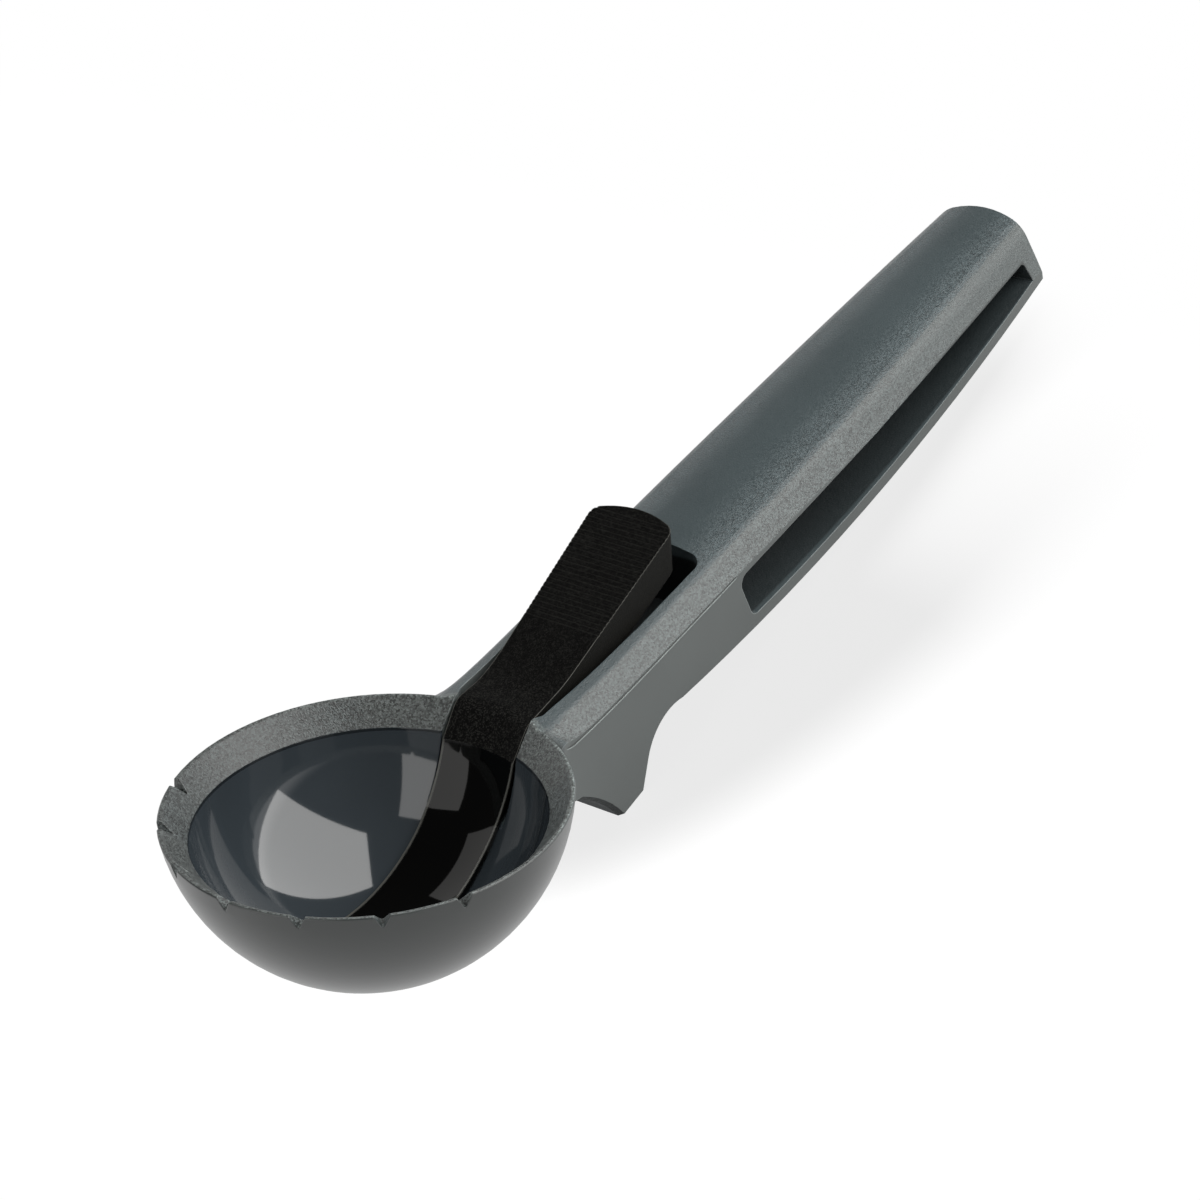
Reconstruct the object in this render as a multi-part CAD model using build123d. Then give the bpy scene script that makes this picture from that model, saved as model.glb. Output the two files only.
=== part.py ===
"""Ice cream scoop with a thumb lever that lifts the ball out of the bowl.

Four pieces: the scoop body (bowl, neck, handle and finger stop in one moulding), the thumb lever with its
ejector arm, the hinge pin and the torsion return spring. Everything is drawn about the centre of the bowl's
rim, with X towards the handle's end and Z square to the rim. At the end the scoop is tipped back onto its
finger stop and the belly of its handle, which is how it lies on a table.
"""
import os
from math import atan2, ceil, cos, degrees, hypot, pi, radians, sin, sqrt, tan

from build123d import *

# Bowl
RIM_RADIUS = 33.0
BOWL_DEPTH = 29.6
BEVEL_RUN = 3.7
BEVEL_DROP = 4.1
LIP_WIDTH = 0.7
LIP_CHAMFER = 0.25
BOWL_FLOOR_WALL = 2.0
NOTCH_COUNT = 7
NOTCH_STEP_DEG = 22.5
NOTCH_WIDTH = 2.6
NOTCH_DEPTH = 2.4
NOTCH_BLUNT = 0.3

# Handle: its own line starts behind the rim and climbs to the end
HANDLE_START = 16.0
HANDLE_RISE = 2.2
HANDLE_PITCH_DEG = 12.2
HANDLE_LENGTH = 143.3
NECK_REACH = 24.0
NECK_LIFT = 1.9
NECK_LIFT_LENGTH = 6.0
NECK_FLARE = 8.0
CREST_HALF_FRONT = 11.3
CREST_HALF_END = 8.9
CREST_BULGE = 0.9
CREST_ARCH = 1.9
CREST_ROUND_FRONT = 0.5
CREST_ROUND_END = 2.2
FLANK_RIM_DEG = 20.0
FLANK_TURN_START = 20.0
FLANK_TURN = 8.0
FLANK_FRONT_DEG = 46.0
FLANK_END_DEG = 63.5
SIDE_HALF_FRONT = 14.2
SIDE_HALF_END = 13.3
SIDE_BULGE = 0.3
END_ROUND = 35.0
BELLY_FRONT = 13.5
BELLY_END = 9.6
BELLY_BOW = 5.4
NECK_SHARES = (-1.0, -0.8, -0.6, -0.4, -0.2, 0.0)
STATION_SHARES = (0.0, 0.33, 0.66, 1.0)

# Window through the handle, above its bottom strap
STRAP_THICK = 2.4
WINDOW_START = 33.3
WINDOW_LEAN = 2.0
WINDOW_TOP_DROP = 4.6
WINDOW_END_WALL = 6.3
WINDOW_FRONT_ROUND = 2.0
WINDOW_CORNER_ROUND = 0.9

# Finger stop under the neck, measured back from the rim and down from its plane
NECK_UNDER_DROP = 13.2
STOP_ARCH_OUT = 1.0
STOP_ARCH_DROP = 14.1
STOP_MIDDLE_OUT = 7.0
STOP_MIDDLE_DROP = 17.6
FOOT_OUT = 13.1
FOOT_DROP = 23.7
FOOT_LENGTH = 6.6
STOP_REAR_OUT = 21.4
STOP_REAR_DROP = 16.2
STOP_ROOT = 13.0
STOP_EDGE = 0.8

# Thumb lever: bend over the rim, pad behind it, arm inside the bowl
BEND_SETBACK = 0.55
BEND_RISE = 0.15
BEND_SLOPE_DEG = 9.7
BEND_ROUND = 3.5
PAD_SLOPE_DEG = 27.2
PAD_CORNER_OUT = 7.0
PAD_BEND_RADIUS = 32.0
PAD_END_OUT = 38.9
PAD_THICK = 7.3
PAD_SKIN = 2.0
PAD_WALL = 2.0
PAD_CORE_START = 7.3
PAD_END_BOW = 1.8
PAD_CORNER_ROUND = 2.0
RIB_START = 1.6
RIB_COUNT = 25
RIB_PITCH = 0.98
RIB_GROOVE = 0.46
RIB_DEPTH = 0.15
ARM_HALF = 7.1
BEND_HALF = 7.65
LEVER_NECK_HALF = 7.35
PAD_HALF = 8.6
PLAN_ROUND = 20.0
FACET_DROP = 1.2
FACET_INSET = 0.5
ARM_THICK = 1.8
ARM_FLARE_DEG = 36.4
ARM_TIP_DEG = 12.3
ARM_ROOT_DEG = 53.9
ARM_TIP_BOW = 4.0
ARM_GAP = 0.3

# Hinge
PIVOT_OUT = 4.5
PIVOT_DROP = 4.8
PIN_RADIUS = 1.75
PIN_RUNNING_GAP = 0.05
PIN_END_CHAMFER = 0.3
PIN_RECESS = 0.3
PIN_BLIND_WALL = 2.2
HUB_RADIUS = 3.9
HUB_GAP = 0.4
HUB_ROOT_DEG = 33.0
BOSS_RADIUS = 3.2
BOSS_GAP = 0.45
LEVER_TRAVEL_DEG = 12.0

# Thumb well in the neck
WELL_END_OUT = 45.8
WELL_HALF_BOWL = 7.95
WELL_HALF_NECK = 8.7
WELL_HALF_PAD = 9.5
WELL_PAD_OUT = 27.0
WELL_ROUND = 2.5
FLOOR_GAP = 0.5
SUMP_OUT = 20.5
SUMP_DROP = 5.0

# Return spring
WIRE = 0.8
WIRE_SIDES = 6
SPRING_RADIUS = 2.6
SPRING_PITCH = 1.35
SPRING_TURNS = 3
SPRING_GAP = 0.35
SPRING_SEAT_GAP = 0.1
FLOOR_LEG = 13.0
LEVER_LEG = 9.0
LEVER_LEG_DEG = 19.0
QUARTER_TURN_DEG = 90.0

# One overrun for every cut, and the length of every raw block that a later cut trims
OVERRUN = 1.0
BLOCK = 60.0


# Derived values of the bowl
bowl_radius = (RIM_RADIUS**2 + BOWL_DEPTH**2) / (2 * BOWL_DEPTH)
bowl_centre = bowl_radius - BOWL_DEPTH
inner_floor = BOWL_DEPTH - BOWL_FLOOR_WALL
inner_rise = inner_floor - BEVEL_DROP
bevel_top = RIM_RADIUS - LIP_WIDTH
bevel_radius = bevel_top - BEVEL_RUN
inner_radius = (bevel_radius**2 + inner_rise**2) / (2 * inner_rise)
inner_centre = inner_radius - inner_floor

# Derived values of the handle and the hinge
pitch = radians(HANDLE_PITCH_DEG)
handle_x = RIM_RADIUS + HANDLE_START
pivot = (RIM_RADIUS + PIVOT_OUT, -PIVOT_DROP)
window_end = HANDLE_LENGTH - WINDOW_END_WALL


def along_handle(distance, height):
    """The (x, z) of a point on the handle's own line, height square to it."""
    x = handle_x + distance * cos(pitch) - height * sin(pitch)
    z = HANDLE_RISE + distance * sin(pitch) + height * cos(pitch)
    return (x, z)


def bowed(front, end, bow, distance):
    """A size that runs from front to end along the handle, with a bow between them."""
    share = distance / HANDLE_LENGTH
    return front + (end - front) * share + 4 * bow * share * (1 - share)


def belly(distance):
    """Depth of the handle's underside below its own line."""
    return bowed(BELLY_FRONT, BELLY_END, BELLY_BOW, distance)


def belly_edge(first, last, lift):
    """The underside from first to last along the handle, raised by lift: a parabola."""
    middle = (first + last) / 2
    ends = (belly(first) + belly(last)) / 2
    control = 2 * belly(middle) - ends
    start = along_handle(first, lift - belly(first))
    crown = along_handle(middle, lift - control)
    end = along_handle(last, lift - belly(last))
    return Bezier(start, crown, end)


def on_bowl(angle_deg, inset):
    """The (x, z) inset from the bowl's inner sphere, the angle counted from straight down towards +X."""
    reach = inner_radius - inset
    angle = radians(angle_deg)
    return (reach * sin(angle), inner_centre - reach * cos(angle))


def turned(point, angle_deg):
    """A point of the lever after pressing the pad by the angle."""
    angle = radians(angle_deg)
    x = point[0] - pivot[0]
    z = point[1] - pivot[1]
    return (pivot[0] + x * cos(angle) + z * sin(angle), pivot[1] - x * sin(angle) + z * cos(angle))


def from_pivot(radius, angle_deg):
    """The (x, z) at a radius round the pivot, the angle counted from +X towards +Z."""
    angle = radians(angle_deg)
    return (pivot[0] + radius * cos(angle), pivot[1] + radius * sin(angle))


def level(point, slope_deg, x):
    """Height at x of the line through point with that slope."""
    return point[1] + (x - point[0]) * tan(radians(slope_deg))


def nearest_edge(solid, x, y, z):
    """The edge of a solid that passes closest to a point."""
    return solid.edges().sort_by_distance((x, y, z))[0]


def slab(edges, half):
    """A closed outline in the X-Z plane, run out to half on both sides of the middle plane."""
    return extrude(Plane.XZ * make_face(edges), amount=half, both=True)


def disc(centre, radius, half):
    """A cylinder along Y about a point of the X-Z plane."""
    return extrude(Plane.XZ * Pos(*centre) * Circle(radius), amount=half, both=True)


# Lever profile, seen from the side
bend = (RIM_RADIUS - BEND_SETBACK, BEND_RISE)
pad_corner_x = RIM_RADIUS + PAD_CORNER_OUT
pad_corner = (pad_corner_x, level(bend, BEND_SLOPE_DEG, pad_corner_x))
pad_side_x = RIM_RADIUS + PAD_END_OUT
pad_end_x = pad_side_x + PAD_END_BOW
pad_end = (pad_end_x, level(pad_corner, PAD_SLOPE_DEG, pad_end_x))
pad_end_low = (pad_end_x, pad_end[1] - PAD_THICK)
pad_root = (pad_corner_x, pad_corner[1] - PAD_THICK)
facet_end = (bevel_radius - FACET_INSET, -(BEVEL_DROP + FACET_DROP))
arm_low = inner_floor - ARM_GAP - ARM_THICK
arm_centre = (facet_end[0]**2 + facet_end[1]**2 - arm_low**2) / (2 * (arm_low + facet_end[1]))
arm_radius = arm_centre + arm_low
hub_root = from_pivot(HUB_RADIUS, 180 + HUB_ROOT_DEG)


def on_arm(angle_deg, inset=0):
    """The (x, z) on the arm's upper face, or inset below it towards the bowl."""
    angle = radians(angle_deg)
    reach = arm_radius + inset
    return (reach * sin(angle), arm_centre - reach * cos(angle))


def arm_angle(point):
    """Where a point lies along the arm's curve, counted from straight down towards +X."""
    return degrees(atan2(point[0], arm_centre - point[1]))


facet_deg = arm_angle(facet_end)
tip_deg = -ARM_TIP_DEG
root_deg = arm_angle(on_bowl(ARM_ROOT_DEG, ARM_THICK / 2))
arm_root = on_arm(root_deg)
bend_far_x = bend[0] - BEND_ROUND
bend_far = (bend_far_x, level(bend, BEND_SLOPE_DEG, bend_far_x))

# Well floor: where the pad's underside ends up when it is pressed home
floor_front = turned(pad_root, LEVER_TRAVEL_DEG)
floor_rear = turned(pad_end_low, LEVER_TRAVEL_DEG)
floor_slope_deg = degrees(atan2(floor_rear[1] - floor_front[1], floor_rear[0] - floor_front[0]))
well_end_x = RIM_RADIUS + WELL_END_OUT


def floor_height(x):
    """Height of the well's floor at x."""
    return level(floor_front, floor_slope_deg, x) - FLOOR_GAP


# The resting line: from the foot of the finger stop to where it touches the belly
arch_start = (RIM_RADIUS + STOP_ARCH_OUT, -STOP_ARCH_DROP)
arch_middle = (RIM_RADIUS + STOP_MIDDLE_OUT, -STOP_MIDDLE_DROP)
foot = (RIM_RADIUS + FOOT_OUT, -FOOT_DROP)
belly_steps = [HANDLE_LENGTH * step / 400 for step in range(100, 400)]
belly_points = [along_handle(distance, -belly(distance)) for distance in belly_steps]
rest_tilt = min(atan2(point[1] - foot[1], point[0] - foot[0]) for point in belly_points)
foot_rear = (foot[0] + FOOT_LENGTH * cos(rest_tilt), foot[1] + FOOT_LENGTH * sin(rest_tilt))


def bowl_dome():
    """The bowl before it is hollowed: a spherical cap with a chamfered outer lip."""
    middle_deg = 45
    middle = radians(middle_deg)
    outer = ThreePointArc(
        (0, -BOWL_DEPTH),
        (bowl_radius * sin(middle), bowl_centre - bowl_radius * cos(middle)),
        (RIM_RADIUS, 0),
    )
    rest = Polyline((RIM_RADIUS, 0), (0, 0), (0, -BOWL_DEPTH))
    section = make_face([outer, rest])
    section = chamfer(section.vertices().sort_by(Axis.X)[-1], LIP_CHAMFER)
    return revolve(Plane.XZ * section, Axis.Z)


def bowl_space():
    """What the bowl holds, with the bevel's cone carried up past the rim."""
    top = HANDLE_RISE + CREST_ARCH + BEVEL_DROP
    bevel_end = bevel_top + top * BEVEL_RUN / BEVEL_DROP
    inside = ThreePointArc((0, -inner_floor), on_bowl(45, 0), (bevel_radius, -BEVEL_DROP))
    rest = Polyline((bevel_radius, -BEVEL_DROP), (bevel_end, top), (0, top), (0, -inner_floor))
    return revolve(Plane.XZ * make_face([inside, rest]), Axis.Z)


def notch(angle_deg):
    """One blunted V cut radially across the lip; it runs out on the bevel."""
    slope_share = NOTCH_WIDTH / 2 / NOTCH_DEPTH
    top_half = (NOTCH_DEPTH + OVERRUN) * slope_share
    section = make_face(Polyline((-top_half, OVERRUN), (0, -NOTCH_DEPTH), (top_half, OVERRUN), close=True))
    section = chamfer(section.vertices().sort_by(Axis.Y)[0], NOTCH_BLUNT)
    across = Plane(origin=(-bevel_radius, 0, 0), x_dir=(0, -1, 0), z_dir=(-1, 0, 0))
    return Rot(Z=angle_deg) * extrude(across * section, amount=RIM_RADIUS - bevel_radius + OVERRUN)


def flank_fall(distance):
    """How steeply the flank falls: hardly at all where the neck meets the rim, most at the handle's end."""
    share = max(0, distance) / HANDLE_LENGTH
    full_deg = FLANK_FRONT_DEG + (FLANK_END_DEG - FLANK_FRONT_DEG) * share
    turn_share = min(1, max(0, (distance + FLANK_TURN_START) / FLANK_TURN))
    smooth_share = turn_share**2 * (3 - 2 * turn_share)
    return tan(radians(FLANK_RIM_DEG + (full_deg - FLANK_RIM_DEG) * smooth_share))


def crest_section(distance):
    """Cross-section of the handle's top: a shallow arch, a rounded shoulder and a flank on each side."""
    half = bowed(CREST_HALF_FRONT, CREST_HALF_END, CREST_BULGE, distance)
    short = max(0, NECK_LIFT_LENGTH - distance) / (NECK_LIFT_LENGTH + NECK_REACH)
    edge = NECK_LIFT * short**2
    fall = flank_fall(distance)
    setback = bowed(CREST_ROUND_FRONT, CREST_ROUND_END, 0, max(0, distance))
    arch_radius = (half**2 + CREST_ARCH**2) / (2 * CREST_ARCH)
    inner = half - setback
    inner_edge = edge + CREST_ARCH - arch_radius + sqrt(arch_radius**2 - inner**2)
    outer = half + setback / hypot(1, fall)
    outer_edge = edge - (outer - half) * fall
    far = SIDE_HALF_FRONT + NECK_FLARE
    far_edge = edge - (far - half) * fall
    edges = [
        ThreePointArc((-inner, inner_edge), (0, edge + CREST_ARCH), (inner, inner_edge)),
        Bezier((inner, inner_edge), (half, edge), (outer, outer_edge)),
        Polyline(
            (outer, outer_edge),
            (far, far_edge),
            (far, -BLOCK),
            (-far, -BLOCK),
            (-far, far_edge),
            (-outer, outer_edge),
        ),
        Bezier((-outer, outer_edge), (-half, edge), (-inner, inner_edge)),
    ]
    x, z = along_handle(distance, 0)
    across = Plane(origin=(x, 0, z), x_dir=(0, 1, 0), z_dir=(cos(pitch), 0, sin(pitch)))
    return across * make_face(edges)


def handle_block():
    """Neck, handle and finger stop: the crest, the plan outline and the side outline in common."""
    neck = [share * NECK_REACH for share in NECK_SHARES]
    length = HANDLE_LENGTH + OVERRUN - neck[-1]
    stations = [neck[-1] + share * length for share in STATION_SHARES]
    crest = loft([crest_section(distance) for distance in neck])
    crest += loft([crest_section(distance) for distance in stations])
    block = plan_outline() & side_outline()
    x, z = arch_middle
    arch_sides = [nearest_edge(block, x, side, z) for side in (-SIDE_HALF_FRONT, SIDE_HALF_FRONT)]
    return (chamfer(arch_sides, STOP_EDGE) + flared_neck()) & crest


def flared_neck():
    """The neck's sides where they run into the bowl in a hollow curve."""
    front_x = RIM_RADIUS - NECK_REACH / 2
    top = HANDLE_RISE + NECK_LIFT + CREST_ARCH + OVERRUN
    corners = ((front_x, top), (front_x, -NECK_UNDER_DROP), (handle_x, -NECK_UNDER_DROP), (handle_x, top))
    neck = slab(Polyline(*corners, close=True), SIDE_HALF_FRONT)
    neck += Pos(0, 0, bowl_centre) * Sphere(bowl_radius)
    x = sqrt(bowl_radius**2 - SIDE_HALF_FRONT**2 - (bowl_centre + BEVEL_DROP) ** 2)
    sides = [nearest_edge(neck, x, side, -BEVEL_DROP) for side in (-SIDE_HALF_FRONT, SIDE_HALF_FRONT)]
    return fillet(sides, NECK_FLARE)


def plan_outline():
    """The handle seen from above: nearly parallel sides and a slightly rounded end."""
    middle = HANDLE_LENGTH / 2
    sag = END_ROUND - sqrt(END_ROUND**2 - SIDE_HALF_END**2)
    side_end = HANDLE_LENGTH - sag
    bulge = bowed(SIDE_HALF_FRONT, SIDE_HALF_END, SIDE_BULGE * 2, middle)
    left = Bezier((0, SIDE_HALF_FRONT), (middle, bulge), (side_end, SIDE_HALF_END))
    end = ThreePointArc((side_end, SIDE_HALF_END), (HANDLE_LENGTH, 0), (side_end, -SIDE_HALF_END))
    right = Bezier((side_end, -SIDE_HALF_END), (middle, -bulge), (0, -SIDE_HALF_FRONT))
    neck = Polyline(
        (0, -SIDE_HALF_FRONT),
        (-NECK_REACH, -SIDE_HALF_FRONT),
        (-NECK_REACH, SIDE_HALF_FRONT),
        (0, SIDE_HALF_FRONT),
    )
    along = (cos(pitch), 0, sin(pitch))
    square = (-sin(pitch), 0, cos(pitch))
    deck = Plane(origin=(handle_x, 0, HANDLE_RISE), x_dir=along, z_dir=square)
    return extrude(deck * make_face([left, end, right, neck]), amount=BLOCK, both=True)


def side_outline():
    """The handle seen from the side: the bowed belly, the finger stop and the arch up to the bowl."""
    front_x = RIM_RADIUS - NECK_REACH / 2
    far = HANDLE_LENGTH + OVERRUN
    stop_rear = (RIM_RADIUS + STOP_REAR_OUT, -STOP_REAR_DROP)
    stop_root = along_handle(STOP_ROOT, -belly(STOP_ROOT))
    climb = (stop_rear[0] - foot_rear[0], stop_rear[1] - foot_rear[1])
    under = [
        Polyline((front_x, BLOCK), (front_x, -NECK_UNDER_DROP), arch_start),
        ThreePointArc(arch_start, arch_middle, foot),
        Polyline(foot, foot_rear, stop_rear),
        TangentArc(stop_rear, stop_root, tangent=climb),
        belly_edge(STOP_ROOT, far, 0),
        Polyline(along_handle(far, -belly(far)), along_handle(far, BLOCK), (front_x, BLOCK)),
    ]
    return slab(under, SIDE_HALF_FRONT + OVERRUN)


def window():
    """The long window through the handle, over the bottom strap."""
    top_front = along_handle(WINDOW_START, -WINDOW_TOP_DROP)
    top_rear = along_handle(window_end, -WINDOW_TOP_DROP)
    low = WINDOW_START + WINDOW_LEAN
    low_front = along_handle(low, STRAP_THICK - belly(low))
    low_rear = along_handle(window_end, STRAP_THICK - belly(window_end))
    frame = Polyline(low_front, top_front, top_rear, low_rear)
    opening = slab([frame, belly_edge(low, window_end, STRAP_THICK)], SIDE_HALF_FRONT + OVERRUN)
    rounds = (WINDOW_FRONT_ROUND, WINDOW_FRONT_ROUND, WINDOW_CORNER_ROUND)
    for (x, z), radius in zip((top_front, low_front, top_rear), rounds):
        opening = fillet(nearest_edge(opening, x, 0, z), radius)
    return opening


def thumb_well():
    """The pocket for the lever: pad floor, hub pocket and the channel that the arm leaves through."""
    top = HANDLE_RISE + BLOCK
    start_x = arm_root[0] - OVERRUN
    drop = ARM_GAP / cos(atan2(hub_root[1] - arm_root[1], hub_root[0] - arm_root[0]))
    outline = Polyline(
        (start_x, top),
        (start_x, arm_root[1] - drop),
        (arm_root[0], arm_root[1] - drop),
        (hub_root[0], hub_root[1] - drop),
        (pivot[0], floor_height(pivot[0])),
        (well_end_x, floor_height(well_end_x)),
        (well_end_x, top),
        close=True,
    )
    half = WELL_HALF_PAD + OVERRUN
    side = slab(outline, half) + disc(pivot, HUB_RADIUS + HUB_GAP, half) + slab(sump_side(), half)
    return side & well_plan()


def sump_side():
    """The deeper end of the well, under the rear of the pad."""
    start_x = RIM_RADIUS + SUMP_OUT
    return Polyline(
        (start_x, floor_height(start_x)),
        (start_x, floor_height(start_x) - SUMP_DROP),
        (well_end_x, floor_height(well_end_x) - SUMP_DROP),
        (well_end_x, floor_height(well_end_x)),
        close=True,
    )


def well_plan():
    """The well seen from above: narrow at the bowl's wall, wider under the pad."""
    half = Polyline(
        (arm_root[0] - OVERRUN, WELL_HALF_BOWL),
        (bend[0], WELL_HALF_BOWL),
        (RIM_RADIUS + OVERRUN, WELL_HALF_NECK),
        (RIM_RADIUS + WELL_PAD_OUT, WELL_HALF_PAD),
        (well_end_x, WELL_HALF_PAD),
        (well_end_x, 0),
        (arm_root[0] - OVERRUN, 0),
        close=True,
    )
    left = make_face(half)
    plan = extrude(left + mirror(left, Plane.XZ), amount=BLOCK, both=True)
    corners = plan.edges().filter_by(Axis.Z).group_by(Axis.X)[-1]
    return fillet(corners, WELL_ROUND)


def spring_groove():
    """A groove in the well's floor that the spring's lower leg lies in."""
    start = from_pivot(SPRING_RADIUS + WIRE / 2 + SPRING_SEAT_GAP, 270 + floor_slope_deg)
    end = from_line((start, unit(floor_slope_deg)), FLOOR_LEG + WIRE)
    open_end = (end[0], end[1] + HUB_RADIUS)
    open_start = (start[0], start[1] + HUB_RADIUS)
    return slab(Polyline(start, end, open_end, open_start, close=True), spring_half())


def pin_bosses():
    """Two rings on the well's walls that keep the lever in the middle."""
    inner = LEVER_NECK_HALF + BOSS_GAP
    both = disc(pivot, BOSS_RADIUS, WELL_HALF_PAD + OVERRUN)
    return both - disc(pivot, BOSS_RADIUS + OVERRUN, inner)


def pin_ends():
    """Where the pin starts and ends along Y: blind on the right, let in from the left."""
    return (PIN_BLIND_WALL - SIDE_HALF_FRONT, SIDE_HALF_FRONT - PIN_RECESS)


def pin_space(radius, start, end):
    """A cylinder along the hinge line from start to end."""
    plane = Plane(origin=(pivot[0], start, pivot[1]), x_dir=(1, 0, 0), z_dir=(0, 1, 0))
    return extrude(plane * Circle(radius), amount=end - start)


def make_body():
    """The scoop body in one moulding."""
    body = bowl_dome() + handle_block()
    body -= bowl_space()
    body = chamfer(nearest_edge(body, -bevel_top, 0, 0), LIP_CHAMFER)
    body -= thumb_well()
    body -= spring_groove()
    body += pin_bosses()
    body -= window()
    first = -(NOTCH_COUNT - 1) / 2 * NOTCH_STEP_DEG
    for index in range(NOTCH_COUNT):
        body -= notch(first + index * NOTCH_STEP_DEG)
    start, _ = pin_ends()
    body -= pin_space(PIN_RADIUS, start, SIDE_HALF_FRONT + OVERRUN)
    return body


def ribbed_pad():
    """The pad's top edge from its rear end to the bend: grooves cut square to the slope, then smooth."""
    slope = radians(PAD_SLOPE_DEG)
    points = [pad_end]
    for index in range(RIB_COUNT):
        crest = RIB_START + index * RIB_PITCH
        groove = (crest, crest + RIB_GROOVE / 2, crest + RIB_GROOVE)
        for distance, depth in zip(groove, (0, RIB_DEPTH, 0)):
            x = pad_end[0] - distance * cos(slope) + depth * sin(slope)
            z = pad_end[1] - distance * sin(slope) - depth * cos(slope)
            points.append((x, z))
    half_turn = radians(PAD_SLOPE_DEG - BEND_SLOPE_DEG) / 2
    run = PAD_BEND_RADIUS * tan(half_turn)
    bend_slope = radians(BEND_SLOPE_DEG)
    high = (pad_corner[0] + run * cos(slope), pad_corner[1] + run * sin(slope))
    low = (pad_corner[0] - run * cos(bend_slope), pad_corner[1] - run * sin(bend_slope))
    points.append(high)
    turn = TangentArc(high, low, tangent=(-cos(slope), -sin(slope)))
    return [Polyline(*points), turn, Line(low, bend_far)]


def lever_side():
    """Pad, bend and upper arm: the outline seen from the side."""
    inside = on_arm(root_deg, -ARM_THICK)
    rest = Polyline(bend_far, inside, arm_root, hub_root, pivot, pad_root, pad_end_low, pad_end)
    edges = ribbed_pad() + [rest]
    return slab(edges, PAD_HALF + OVERRUN) + disc(pivot, HUB_RADIUS, PAD_HALF + OVERRUN)


def lower_arm():
    """The raw arm inside the bowl; its underside follows the bowl."""
    high_deg = (facet_deg + root_deg) / 2
    middle_deg = (high_deg + tip_deg) / 2
    deep = ARM_THICK + BOWL_FLOOR_WALL
    high = -ARM_THICK
    edges = [
        ThreePointArc(on_arm(high_deg, high), on_arm(middle_deg, high), on_arm(tip_deg, high)),
        Line(on_arm(tip_deg, high), on_arm(tip_deg, deep)),
        ThreePointArc(on_arm(tip_deg, deep), on_arm(middle_deg, deep), on_arm(high_deg, deep)),
        Line(on_arm(high_deg, deep), on_arm(high_deg, high)),
    ]
    return slab(edges, PAD_HALF) & Pos(0, 0, inner_centre) * Sphere(inner_radius - ARM_GAP)


def ball_space():
    """What lies over the arm: a sphere inside the bowl, then a cone up over the rim, both round its axis."""
    top = (2 * bend[0] - facet_end[0], 2 * bend[1] - facet_end[1])
    hollow = ThreePointArc((0, -arm_low), on_arm(facet_deg / 2), facet_end)
    rest = Polyline(facet_end, top, (0, top[1]), (0, -arm_low))
    return revolve(Plane.XZ * make_face([hollow, rest]), Axis.Z)


def lever_plan():
    """The lever seen from above: parallel arm, a flare at the bend, a waist, and the widening pad."""
    tip_x = on_arm(tip_deg)[0]
    left = [
        (tip_x + ARM_TIP_BOW, ARM_HALF),
        (on_arm(ARM_FLARE_DEG)[0], ARM_HALF),
        (bend[0], BEND_HALF),
        (pivot[0], LEVER_NECK_HALF),
        (pad_side_x, PAD_HALF),
    ]
    right = [(x, -half) for x, half in reversed(left)]
    end = ThreePointArc(left[-1], (pad_end_x, 0), right[0])
    tip = ThreePointArc(right[-1], (tip_x, 0), left[0])
    plan = make_face([Polyline(*left), end, Polyline(*right), tip])
    corners = plan.vertices().group_by(Axis.X)
    plan = fillet(corners[-1], PAD_CORNER_ROUND)
    corners = plan.vertices().group_by(Axis.X)
    plan = fillet(corners[2] + corners[3], PLAN_ROUND)
    return extrude(plan, amount=BLOCK, both=True)


def spring_half():
    """Half the room that the coil takes along the pin."""
    return (SPRING_TURNS + 1) * SPRING_PITCH / 2 + WIRE / 2 + SPRING_GAP


def lever_hollow():
    """The underside of the pad, cored out, and the slot in the hub for the spring."""
    room = SPRING_RADIUS + WIRE / 2 + SPRING_GAP
    leg = lever_leg_line(WIRE / 2 + SPRING_SEAT_GAP)
    far = from_line(leg, LEVER_LEG + WIRE)
    low = pivot[1] - HUB_RADIUS - OVERRUN
    slot = Polyline(
        (pivot[0] - room, pivot[1]),
        leg[0],
        far,
        (far[0], low),
        (pivot[0] - room, low),
        close=True,
    )
    coil = slab(slot, spring_half()) + disc(pivot, room, spring_half())
    skin = PAD_SKIN / cos(radians(PAD_SLOPE_DEG))
    start_x = pad_corner[0] + PAD_CORE_START
    end_x = pad_side_x - PAD_WALL
    core = Polyline(
        (start_x, level(pad_corner, PAD_SLOPE_DEG, start_x) - skin),
        (end_x, level(pad_corner, PAD_SLOPE_DEG, end_x) - skin),
        (end_x, pad_root[1]),
        (start_x, pad_root[1] - OVERRUN),
        close=True,
    )
    return coil + slab(core, LEVER_NECK_HALF - PAD_WALL)


def make_lever():
    """The thumb lever in one moulding."""
    lever = (lever_side() + lower_arm() - ball_space()) & lever_plan()
    lever = fillet(nearest_edge(lever, bend[0], 0, bend[1]), BEND_ROUND)
    lever -= lever_hollow()
    lever -= disc(pivot, PIN_RADIUS + PIN_RUNNING_GAP, PAD_HALF + OVERRUN)
    return lever


def make_pin():
    """The hinge pin, chamfered at both ends."""
    start, end = pin_ends()
    pin = pin_space(PIN_RADIUS, start, end)
    return chamfer(pin.edges().filter_by(GeomType.CIRCLE), PIN_END_CHAMFER)


def unit(angle_deg):
    """The direction at an angle from +X towards +Z."""
    return (cos(radians(angle_deg)), sin(radians(angle_deg)))


def lever_leg_line(offset):
    """The spring's leg under the pad as (start, direction), moved up by offset."""
    return from_pivot(SPRING_RADIUS + offset, LEVER_LEG_DEG + 90), unit(LEVER_LEG_DEG)


def from_line(line, distance):
    """The point at a distance along a (start, direction) line."""
    (x, z), (along_x, along_z) = line
    return (x + along_x * distance, z + along_z * distance)


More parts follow.
